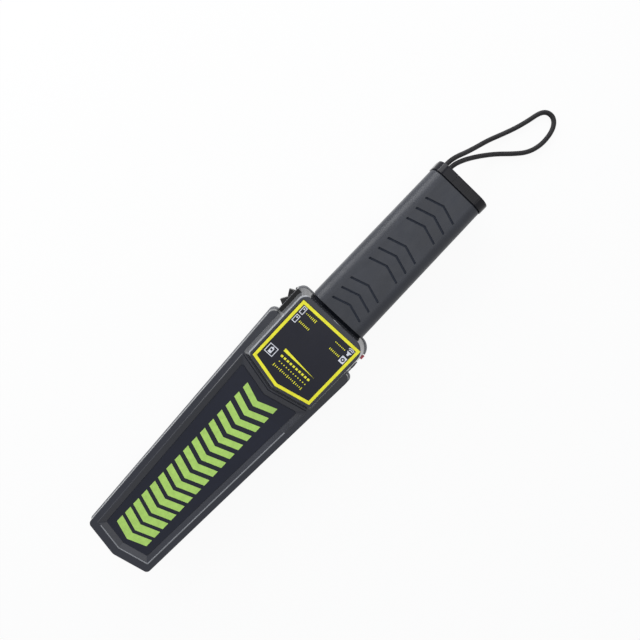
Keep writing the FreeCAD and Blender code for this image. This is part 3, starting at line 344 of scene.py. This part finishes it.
def moulded_plastic(
    name, colour, roughness, grain_mm=0.35, grain_depth=0.02, specular=0.5,
    painted_wall_sheen=None, painted_rim_highlight=None, painted_edge_highlight=None,
):
    """Moulded plastic: spark-eroded grain, faint flow marks and handling smears.

    Three paler colours may be given, each painted light: a painted sheen for the smooth steep walls, a
    painted highlight for the last millimetre before the parting plane, and painted highlights for the tray's
    bead and the block's brow.
    """
    surface = Surface(name)
    flow = surface.noise(28, 4, (1, 2.2, 1))
    smear = surface.noise(95, 5, (1, 1.6, 1))
    grain = surface.noise(1 / (grain_mm * MM), 2)
    tone = surface.ramp(flow, shade(colour, 0.9), shade(colour, 1.25), 0.3, 0.75)
    speck = surface.ramp(grain, grey(0.8), grey(1.2), 0.3, 0.7)
    tone = surface.mix(0.5, tone, speck, "MULTIPLY")
    rough = surface.span(smear, roughness - 0.05, roughness + 0.07)
    if not painted_wall_sheen:
        return surface.finish(tone, rough, surface.bump(grain, grain_depth), specular=specular)
    sideways, upwards = surface.split(surface.facing)[1:]
    steep = surface.share_between(surface.maths("ABSOLUTE", upwards), 0.95, 0.55)
    # The steep walls are painted paler: a painted sheen.
    tone = surface.mix(steep, tone, painted_wall_sheen)
    # The last millimetre below the parting plane is painted pale: a painted highlight on the back shell's
    # ledge.
    if painted_rim_highlight:
        height = surface.split(surface.place)[2]
        near = surface.maths("GREATER_THAN", height, (PARTING_Z - RIM_HEIGHT) * MM)
        tone = surface.mix(near, tone, painted_rim_highlight)
    # The crest of the tray's bead and the block's brow are painted pale: painted highlights.
    if painted_edge_highlight:
        tone = surface.mix(painted_edge_highlights(surface), tone, painted_edge_highlight)
    smooth = surface.maths("SUBTRACT", rough, surface.maths("MULTIPLY", steep, roughness / 2))
    normal = surface.bump(grain, grain_depth, surface.maths("SUBTRACT", 1, steep))
    # Sheen on the steep walls, full where they face +Y and a fifth as strong where they face -Y: partly a
    # dusty film, partly a painted sheen on the side towards the lamps.
    upper_side = surface.share_between(sideways, 0.25, 0.6)
    lower_side = surface.maths("MULTIPLY", surface.share_between(sideways, -0.25, -0.6), 0.2)
    dust_and_sheen = surface.maths("MULTIPLY", steep, surface.maths("ADD", upper_side, lower_side))
    surface.link(dust_and_sheen, surface.shader.inputs["Sheen Weight"])
    surface.shader.inputs["Sheen Roughness"].default_value = 0.3
    return surface.finish(tone, smooth, normal, specular=specular)


# Limits of the handle's grooves, painted paler, and of its spigot in the block and its brim in the end
# collar, painted dark as shade
HANDLE_RISE = 16
HANDLE_ROOT = 67.9
HANDLE_END = 197
GROOVE_SPAN = 14.6
GROOVE_FOOT = 0.6
BRIM_LENGTH = 0.7
HANDLE_GLOSS = 0.4


def grooved_plastic(name, colour, roughness):
    """The handle's plastic: coarse grain, matt grooves with floors painted paler, and a spigot and brim
    painted dark as shade.
    """
    surface = Surface(name)
    flow = surface.noise(34, 4, (1, 2.2, 1))
    smear = surface.noise(110, 5, (1, 1.6, 1))
    grain = surface.noise(1 / (0.5 * MM), 3)
    x, y, z = surface.split(surface.place)
    sunk = surface.maths("LESS_THAN", surface.off_parting(z), (HANDLE_RISE - GROOVE_FOOT) * MM)
    middle = surface.maths("LESS_THAN", surface.maths("ABSOLUTE", y), GROOVE_SPAN * MM)
    groove = surface.maths("MULTIPLY", sunk, middle)
    spigot = surface.maths("LESS_THAN", x, HANDLE_ROOT * MM)
    brim = surface.maths("GREATER_THAN", x, (HANDLE_END - BRIM_LENGTH) * MM)
    painted_gap_shade = surface.maths("MAXIMUM", spigot, brim)
    tone = surface.ramp(flow, shade(colour, 0.9), shade(colour, 1.3), 0.3, 0.75)
    speck = surface.ramp(grain, grey(0.7), grey(1.35), 0.3, 0.7)
    tone = surface.mix(0.6, tone, speck, "MULTIPLY")
    # Groove floors painted paler: painted light against the shade inside the grooves.
    tone = surface.mix(groove, tone, shade(colour, 2.1))
    # Spigot and brim painted dark and, below, made duller: painted shade in the gaps at the handle's ends.
    tone = surface.mix(painted_gap_shade, tone, shade(colour, 0.5))
    matt = surface.maths("MULTIPLY", surface.maths("MAXIMUM", groove, painted_gap_shade), 0.4)
    rough = surface.maths("ADD", surface.span(smear, roughness - 0.05, roughness + 0.07), matt)
    dull_groove = surface.maths("MULTIPLY", groove, 0.18)
    dull_hidden = surface.maths("MULTIPLY", painted_gap_shade, 0.32)
    dull = surface.maths("ADD", dull_groove, dull_hidden)
    gloss = surface.maths("SUBTRACT", HANDLE_GLOSS, dull)
    surface.link(gloss, surface.shader.inputs["Specular IOR Level"])
    return surface.finish(tone, rough, surface.bump(grain, 0.04), specular=HANDLE_GLOSS)


def gloss_plastic(name, colour, roughness=0.22, specular=0.5):
    """Polished plastic: a little ripple, dust and fine rubbing."""
    surface = Surface(name)
    ripple = surface.noise(180, 2)
    dust_and_sheen = surface.noise(1600, 4)
    rub = surface.noise(420, 3, (1, 7, 1))
    tone = surface.ramp(dust_and_sheen, shade(colour, 0.92), shade(colour, 1.35), 0.45, 0.85)
    rough = surface.span(rub, roughness - 0.04, roughness + 0.1)
    return surface.finish(tone, rough, surface.bump(ripple, 0.03), specular=specular)


def printed_film(name, colour, roughness=0.34, specular=0.25):
    """Printed polycarbonate film: fine embossed matt with slight unevenness of the ink."""
    surface = Surface(name)
    ink = surface.noise(240, 4)
    matt = surface.noise(3800, 2)
    wave = surface.noise(45, 2)
    tone = surface.ramp(ink, shade(colour, 0.94), shade(colour, 1.08))
    rough = surface.span(wave, roughness - 0.04, roughness + 0.06)
    normal = surface.bump(wave, 0.12, normal=surface.bump(matt, 0.006))
    return surface.finish(tone, rough, normal, specular=specular)


def metal(name, colour, roughness=0.3, stretch=(1, 1, 18)):
    """Plated or drawn metal with fine lines and dull patches."""
    surface = Surface(name)
    lines = surface.noise(900, 3, stretch)
    patch = surface.noise(160, 4)
    tone = surface.ramp(patch, shade(colour, 0.82), shade(colour, 1.06))
    rough = surface.span(patch, roughness - 0.06, roughness + 0.12)
    return surface.finish(tone, rough, surface.bump(lines, 0.01), metallic=1.0)


WIRE_PITCH = 0.45


def copper_winding(name):
    """Enamelled wire laid in rows."""
    surface = Surface(name)
    height = surface.split(surface.place)[2]
    row = surface.maths("SINE", surface.maths("MULTIPLY", height, 2 * math.pi / (WIRE_PITCH * MM)))
    patch = surface.noise(130, 4)
    tone = surface.ramp(patch, srgb(138, 70, 34), srgb(190, 108, 60))
    rough = surface.span(patch, 0.24, 0.4)
    return surface.finish(tone, rough, surface.bump(row, 0.1), metallic=0.85)


def paired_wire(name, middle_y):
    """Two insulated wires, one red and one black, told apart by their side."""
    surface = Surface(name)
    side = surface.maths("GREATER_THAN", surface.split(surface.place)[1], middle_y)
    scuff = surface.noise(1300, 3)
    red = surface.ramp(scuff, srgb(150, 20, 18), srgb(186, 36, 30))
    black = surface.ramp(scuff, srgb(24, 24, 25), srgb(40, 40, 42))
    tone = surface.mix(side, black, red)
    return surface.finish(tone, surface.span(scuff, 0.32, 0.45), surface.bump(scuff, 0.01))


def laminate(name):
    """Green solder mask over copper tracks, with the weave of the glass cloth."""
    surface = Surface(name)
    inputs = {"Vector": surface.place, "Scale": 260}
    cells = surface.add("TexVoronoi", inputs, feature="DISTANCE_TO_EDGE", distance="MANHATTAN").outputs[0]
    track = surface.ramp(cells, srgb(36, 128, 66), srgb(16, 92, 46), 0.05, 0.09)
    cloth = surface.noise(2100, 2)
    patch = surface.noise(90, 3)
    tint = surface.ramp(patch, grey(0.85), grey(1.1))
    tone = surface.mix(1.0, track, tint, "MULTIPLY")
    return surface.finish(tone, surface.span(patch, 0.26, 0.38), surface.bump(cloth, 0.02))


def foam(name):
    """Foam with open cells: paler on their walls, darker towards their middles as painted shade in the
    hollows.
    """
    surface = Surface(name)
    cells = surface.add("TexVoronoi", {"Vector": surface.place, "Scale": 1400}).outputs[0]
    tone = surface.ramp(cells, srgb(38, 38, 40), srgb(62, 62, 64), 0.1, 0.8)
    return surface.finish(tone, surface.span(cells, 0.85, 0.97), surface.bump(cells, 0.3))


def yarn(name):
    """Polyester yarn, with fine filaments."""
    surface = Surface(name)
    fibre = surface.noise(5200, 3)
    patch = surface.noise(160, 3)
    tone = surface.ramp(fibre, srgb(14, 13, 15), srgb(38, 37, 40), 0.3, 0.75)
    rough = surface.span(patch, 0.62, 0.8)
    surface.shader.inputs["Sheen Weight"].default_value = 0.12
    surface.shader.inputs["Sheen Roughness"].default_value = 0.4
    return surface.finish(tone, rough, surface.bump(fibre, 0.08), specular=0.3)


DARK = srgb(26, 26, 28)
ROCKER = srgb(15, 15, 17)
SHELL_LOOK = {
    "colour": srgb(30, 33, 44),
    "roughness": 0.27,
    "grain_depth": 0.008,
    "specular": 0.4,
    # painted sheen of the steep walls
    "painted_wall_sheen": srgb(54, 55, 59),
    # painted highlight on the crest of the tray's bead and the block's brow
    "painted_edge_highlight": srgb(132, 134, 139),
}
BEZEL_LOOK = {
    "colour": srgb(14, 14, 17),
    "roughness": 0.2,
    "grain_mm": 0.3,
    "grain_depth": 0.006,
    "specular": 0.14,
    # painted sheen of the bezel's steep walls
    "painted_wall_sheen": srgb(70, 70, 74),
}
materials = {
    "front_shell": moulded_plastic("front_shell_plastic", **SHELL_LOOK),
    # back shell: its last millimetre below the parting plane is painted pale as a highlight
    "back_shell": moulded_plastic("back_shell_plastic", **SHELL_LOOK, painted_rim_highlight=srgb(132, 133, 137)),
    "handle_grip": grooved_plastic("handle_plastic", srgb(36, 39, 47), 0.42),
    "end_collar": gloss_plastic("collar_plastic", srgb(15, 15, 23), 0.15, specular=0.2),
    "battery_door": gloss_plastic("door_plastic", srgb(15, 15, 22), 0.15, specular=0.2),
    "blade_decal": printed_film("decal_film", srgb(18, 22, 37)),
    "panel_label": printed_film("label_film", srgb(13, 15, 29), specular=0.23),
    "coil_former": moulded_plastic("former_nylon", srgb(214, 208, 190), 0.5),
    "search_coil": copper_winding("coil_copper"),
    "circuit_board": laminate("board_laminate"),
    "board_chips": moulded_plastic("chip_epoxy", DARK, 0.55, 0.2, 0.01),
    "board_capacitors": gloss_plastic("capacitor_sleeve", srgb(38, 48, 98), 0.26),
    "board_trimmers": gloss_plastic("trimmer_case", srgb(28, 74, 150), 0.32),
    "board_headers": moulded_plastic("connector_nylon", srgb(226, 222, 208), 0.42, 0.2, 0.01),
    "speaker": metal("speaker_metal", srgb(84, 86, 90), 0.42, (1, 1, 1)),
    "motor_case": metal("motor_steel", srgb(196, 197, 200), 0.26, (18, 1, 1)),
    "motor_weight": metal("weight_brass", srgb(202, 170, 98), 0.28, (1, 6, 6)),
    "switch_bezel": moulded_plastic("bezel_plastic", **BEZEL_LOOK),
    "power_switch_body": moulded_plastic("power_case_plastic", DARK, 0.5),
    "sensitivity_switch_body": moulded_plastic("sensitivity_case_plastic", DARK, 0.5),
    "power_rocker": gloss_plastic("power_rocker_plastic", ROCKER, 0.3, specular=0.25),
    "sensitivity_rocker": gloss_plastic("sensitivity_rocker_plastic", ROCKER, 0.3, specular=0.25),
    "switch_terminals": metal("terminal_tin", srgb(206, 200, 176), 0.34),
    "selector_body": metal("selector_steel", srgb(202, 203, 205), 0.3),
    "selector_knob": gloss_plastic("knob_red", srgb(196, 40, 62), 0.3),
    "charge_jack": gloss_plastic("jack_plastic", DARK, 0.3),
    "battery": gloss_plastic("battery_jacket", srgb(58, 60, 66), 0.24),
    "battery_snap": gloss_plastic("snap_vinyl", DARK, 0.36),
    "battery_pad": foam("pad_foam"),
    "lanyard_knot": yarn("knot_yarn"),
}
for node in ("board_screws", "block_screws", "blade_screws", "collar_screw"):
    materials[node] = metal(node + "_zinc", srgb(172, 174, 178), 0.32)
for node in ("coil_leads", "speaker_leads", "motor_leads", "battery_leads"):
    low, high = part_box(node)
    materials[node] = paired_wire(node + "_insulation", (low[1] + high[1]) / 2)
for node, material in materials.items():
    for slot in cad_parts[node].material_slots:
        slot.material = material


def circle(x, y, radius, sides=40):
    turns = [2 * math.pi * index / sides for index in range(sides)]
    return [(x + radius * math.cos(turn), y + radius * math.sin(turn)) for turn in turns]


# Sleeves: the pockets of the two back screws next to the handle stay round where they reach the corner
SLEEVE_X = 62.4
SLEEVE_Y = 29.2
SLEEVE_PROFILE = ((2.1, 11), (2.1, 0.25), (2.3, 0.05), (2.75, 0.05), (2.95, 0.25), (2.95, 11))
SLEEVE_SIDES = 48


def turned_rings(centres, profile, sides):
    """One closed ring about each centre, turned from a profile of (radius, z) points."""
    mesh = bmesh.new()
    for x, y in centres:
        loops = []
        for radius, z in profile:
            points = [(along, across, z) for along, across in circle(x, y, radius, sides)]
            loops.append([mesh.verts.new([value * MM for value in point]) for point in points])
        for low, high in zip(loops, loops[1:] + loops[:1]):
            for index in range(sides):
                after = (index + 1) % sides
                mesh.faces.new((low[index], low[after], high[after], high[index]))
    bmesh.ops.recalc_face_normals(mesh, faces=mesh.faces)
    result = bpy.data.meshes.new("rings")
    mesh.to_mesh(result)
    mesh.free()
    return result


sleeve_centres = ((SLEEVE_X, SLEEVE_Y), (SLEEVE_X, -SLEEVE_Y))
sleeve_mesh = turned_rings(sleeve_centres, SLEEVE_PROFILE, SLEEVE_SIDES)
new_piece("screw_sleeves", sleeve_mesh, materials["back_shell"], "housing")


# The lanyard's piece, along the route given above
line, spacing = evenly_spaced(cord_line(LANYARD_ROUTE), BRAID_STEP * MM)
lanyard_mesh = braided_tube(line, spacing, LANYARD_RADIUS)
lanyard = new_piece("lanyard", lanyard_mesh, yarn("lanyard_yarn"), "housing")
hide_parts("lanyard_cord")


# Printed graphics, as thin raised ink
LABEL_TOP = 45.0
DECAL_TOP = 30.0
INK_THICKNESS = 0.06
INK_LINE = 0.6
INK_ROUGHNESS = 0.4
yellow = printed_film("yellow_ink", srgb(246, 240, 60), INK_ROUGHNESS)
white = printed_film("white_ink", srgb(226, 228, 236), INK_ROUGHNESS)
lime = printed_film("lime_ink", srgb(180, 220, 112), INK_ROUGHNESS)


def ink_piece(name, outlines, low_z, material):
    """Flat shapes of ink; an outline inside another is a hole."""
    curve = bpy.data.curves.new(name, "CURVE")
    curve.dimensions = "2D"
    curve.fill_mode = "BOTH"
    curve.extrude = INK_THICKNESS / 2 * MM
    for outline in outlines:
        spline = curve.splines.new("POLY")
        spline.points.add(len(outline) - 1)
        for point, (x, y) in zip(spline.points, outline):
            point.co = (x * MM, y * MM, 0, 1)
        spline.use_cyclic_u = True
    mesh = mesh_of_curve(curve)
    mesh.transform(Matrix.Translation((0, 0, (low_z + INK_THICKNESS / 2) * MM)))
    return new_piece(name, mesh, material, "housing")


def rectangle(x, y, length, width):
    """Corners of a rectangle about its middle."""
    left, right = x - length / 2, x + length / 2
    low, high = y - width / 2, y + width / 2
    return [(left, low), (right, low), (right, high), (left, high)]


def arc_band(x, y, radius, width, start, end, steps=20):
    """A curved bar, its angles in degrees."""
    angles = [math.radians(start + (end - start) * index / steps) for index in range(steps + 1)]
    outer = [(x + (radius + width) * math.cos(a), y + (radius + width) * math.sin(a)) for a in angles]
    inner = [(x + radius * math.cos(a), y + radius * math.sin(a)) for a in reversed(angles)]
    return outer + inner


FRAME_OUTER = [(-3.8, 0), (3.2, -29.4), (60.3, -29.5), (59.9, 28.8), (2.8, 28.8)]
FRAME_INNER = [(-1.25, 0), (5.15, -27.0), (57.9, -27.1), (57.5, 26.4), (4.75, 26.4)]
ink_piece("label_frame", [FRAME_OUTER, FRAME_INNER], LABEL_TOP, yellow)

# Pictograms of the two rockers, the socket and the sounder, and a framed battery sign
SWITCH_MARKS = ((45.8, 23.6), (53.8, 23.6))
SOCKET_MARK = (46.4, -24)
SOUNDER_MARK = (53.2, -24.05)
HORN = [(51.1, -24.9), (52.3, -24.9), (54.2, -26.4), (54.2, -21.7), (52.3, -23.2), (51.1, -23.2)]
BATTERY_X = 15.2
BATTERY_Y = 20.9
CELL = [(-2.7, -1.5), (2, -1.5), (2, -0.7), (2.7, -0.7), (2.7, 0.7), (2, 0.7), (2, 1.5), (-2.7, 1.5)]
marks = []
for x, y in SWITCH_MARKS:
    marks += [rectangle(x, y, 6.4, 3.6), rectangle(x, y, 5.2, 2.4), rectangle(x + 1.2, y, 1.2, 1.1)]
marks += [rectangle(*SOCKET_MARK, 5.6, 4.6), circle(*SOCKET_MARK, 1.7), circle(*SOCKET_MARK, 0.7)]
marks += [HORN]
marks += [arc_band(*SOUNDER_MARK, radius, INK_LINE, -42, 42) for radius in (2.4, 3.7)]
marks += [rectangle(BATTERY_X, BATTERY_Y, 8, 8), rectangle(BATTERY_X, BATTERY_Y, 6.8, 6.8)]
marks += [[(BATTERY_X + x, BATTERY_Y + y) for x, y in CELL], rectangle(BATTERY_X + 0.2, BATTERY_Y, 1.6, 1.7)]
ink_piece("label_pictograms", marks, LABEL_TOP, white)

# Rows of ticks beside the pictograms
ROW_COUNT = 7
ROW_PITCH = 1.5
UPPER_ROW_Y = 19.9
LOWER_ROW_Y = -19.8
TICK_LENGTH = 1.6
DOTS_X = 53
scale = []
for index in range(ROW_COUNT):
    upper_y = UPPER_ROW_Y - index * ROW_PITCH
    lower_y = LOWER_ROW_Y + index * ROW_PITCH
    scale.append(rectangle(SWITCH_MARKS[0][0], upper_y, TICK_LENGTH, INK_LINE))
    scale.append(rectangle(SWITCH_MARKS[1][0], upper_y, 0.8 + index * 0.3, INK_LINE))
    scale.append(rectangle(SOCKET_MARK[0], lower_y, TICK_LENGTH, INK_LINE))
    scale.append(circle(DOTS_X, lower_y, 0.45, 12))

# A signal scale in the point of the frame: lines, dots, blocks and a wedge
SCALE_START = -16
for index in range(17):
    scale.append(rectangle(8.3, SCALE_START + index * 1.75, 1.3 if index % 4 else 2.4, INK_LINE))
for index in range(12):
    scale.append(circle(12.8, SCALE_START + index * 2.4, 0.5, 16))
for index in range(10):
    scale.append(rectangle(17.2, SCALE_START + 0.6 + index * 3, 1.7, 1.9))
scale.append([(20.9, -18), (23.5, 13.6), (20.9, 13.6)])
ink_piece("label_scale", scale, LABEL_TOP, yellow)

# Chevrons along the blade, growing towards the tip
CHEVRONS = 16
CHEVRON_START = -180
CHEVRON_PITCH = 10.3
CHEVRON_BAR = 7
CHEVRON_SHRINK = 0.1
CHEVRON_HALF = 16
CHEVRON_LEAN = 6
chevrons = []
for index in range(CHEVRONS):
    near = CHEVRON_START + index * CHEVRON_PITCH
    far = near + CHEVRON_BAR - index * CHEVRON_SHRINK
    chevrons.append([
        (near, -CHEVRON_HALF),
        (far, -CHEVRON_HALF),
        (far - CHEVRON_LEAN, 0),
        (far, CHEVRON_HALF),
        (near, CHEVRON_HALF),
        (near - CHEVRON_LEAN, 0),
    ])
ink_piece("blade_chevrons", chevrons, DECAL_TOP, lime)


# Light, background and floor
def area_light(name, place, target, size, watts):
    data = bpy.data.lights.new(name, "AREA")
    data.shape = "RECTANGLE"
    data.size, data.size_y = size
    data.energy = watts
    light = bpy.data.objects.new(name, data)
    bpy.context.collection.objects.link(light)
    aim = Vector(target) - Vector(place)
    light.matrix_world = Matrix.Translation(place) @ aim.to_track_quat("-Z", "Y").to_matrix().to_4x4()


area_light("softbox_left", (0.3, 0.95, 0.45), (0, 0, 0.02), (1.8, 0.7), 13)
area_light("strip_left", (0.45, 0.7, 0.13), (0, 0, 0.03), (1.8, 0.1), 2.5)
area_light("softbox_top", (0.3, 0.1, 1.5), (0, 0, 0), (1.2, 1.2), 5)


def seen_directly(tree):
    """1 for what the camera sees, also in a reflection or through glass."""
    path = add_node(tree, "LightPath").outputs
    inputs = {0: path["Is Camera Ray"], 1: path["Is Glossy Ray"]}
    seen = add_node(tree, "Math", inputs, operation="MAXIMUM").outputs[0]
    inputs = {0: seen, 1: path["Is Transmission Ray"]}
    return add_node(tree, "Math", inputs, operation="MAXIMUM").outputs[0]


ROOM_COLOUR = (0.9, 0.95, 1, 1)
ROOM_STRENGTH = 0.35
world = bpy.data.worlds.new("studio")
bpy.context.scene.world = world
world.use_nodes = True
tree = world.node_tree
tree.nodes.clear()
room = add_node(tree, "Background", {"Color": ROOM_COLOUR, "Strength": ROOM_STRENGTH}).outputs[0]
backdrop = add_node(tree, "Background", {"Color": grey(1)}).outputs[0]
blend = add_node(tree, "MixShader", {0: seen_directly(tree), 1: room, 2: backdrop}).outputs[0]
add_node(tree, "OutputWorld", {"Surface": blend})

FLOOR_HALF = 6
FLOOR_GREY = 0.85
FLOOR_GLOW_SHARE = 0.93
floor_mesh = bpy.data.meshes.new("floor")
corners = [(x * FLOOR_HALF, y * FLOOR_HALF, 0) for x, y in ((-1, -1), (1, -1), (1, 1), (-1, 1))]
floor_mesh.from_pydata(corners, [], [(0, 1, 2, 3)])
floor = bpy.data.objects.new("floor", floor_mesh)
bpy.context.collection.objects.link(floor)
paper = bpy.data.materials.new("paper")
paper.use_nodes = True
tree = paper.node_tree
tree.nodes.clear()
diffuse = add_node(tree, "BsdfDiffuse", {"Color": grey(FLOOR_GREY)}).outputs[0]
glow = add_node(tree, "Emission").outputs[0]
inputs = {0: seen_directly(tree), 1: FLOOR_GLOW_SHARE}
share = add_node(tree, "Math", inputs, operation="MULTIPLY").outputs[0]
blend = add_node(tree, "MixShader", {0: share, 1: diffuse, 2: glow}).outputs[0]
add_node(tree, "OutputMaterial", {"Surface": blend})
floor_mesh.materials.append(paper)
